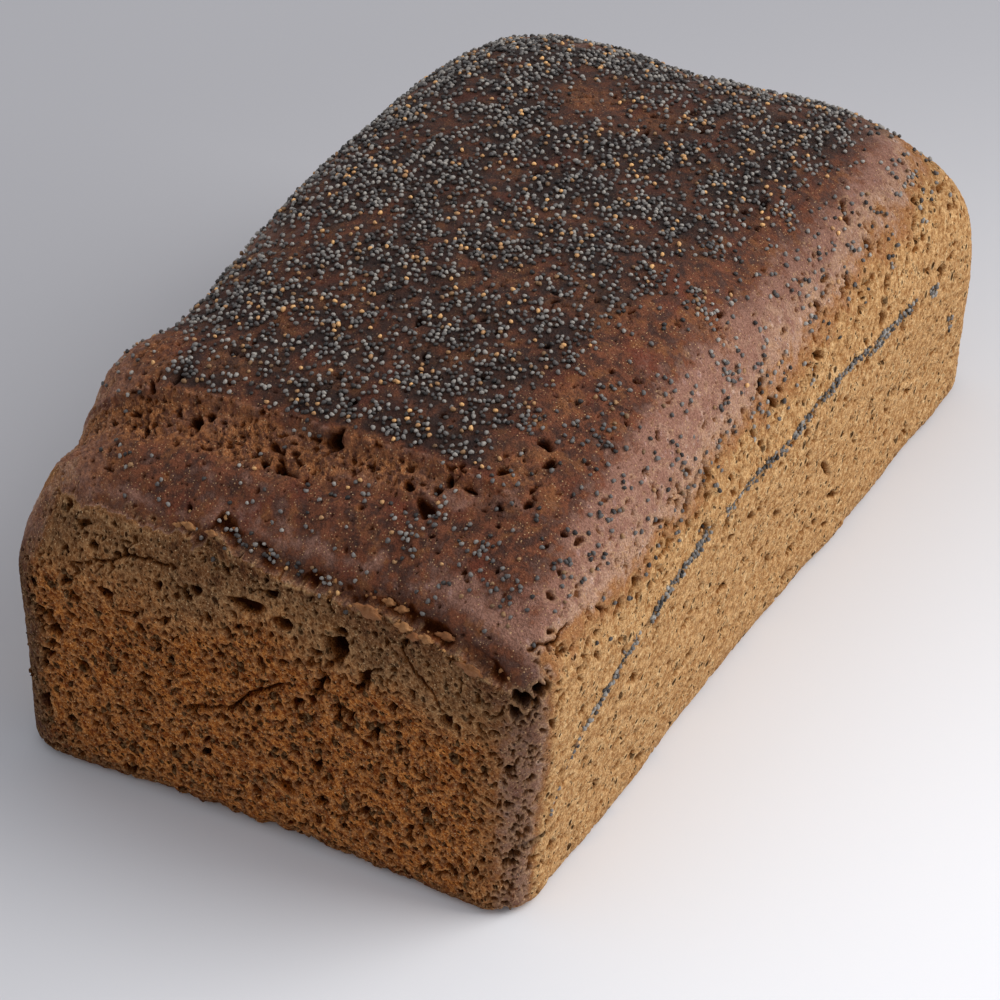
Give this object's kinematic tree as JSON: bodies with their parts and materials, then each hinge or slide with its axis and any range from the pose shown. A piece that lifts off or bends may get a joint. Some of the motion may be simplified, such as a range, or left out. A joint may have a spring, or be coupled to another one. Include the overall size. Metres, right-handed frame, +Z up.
{
  "type": "sourdough loaf",
  "caption": "Tin-baked dark rye sourdough loaf with straight porous sides, a domed cracked crust and poppy seeds scattered over the crown and along one side.",
  "frame": {"origin": "middle of the flat base, at the surface the loaf rests on", "axes": "+X along the loaf, away from the end with the torn lip; +Y across it, away from the side with the line of seeds; +Z up"},
  "size_m": [0.1919, 0.1144, 0.0827],
  "materials": {
    "crust": "matt dark red-brown baked crust, finely pitted",
    "crumb": "golden brown tin-baked side, porous",
    "poppy_slate": "slate blue-grey poppy seed with a dull sheen",
    "poppy_dark": "blackish toasted poppy seed with a dull sheen",
    "poppy_tan": "tan poppy seed with a dull sheen"
  },
  "bodies": {
    "root": {"loaf": "crust"}
  },
  "joints": []
}
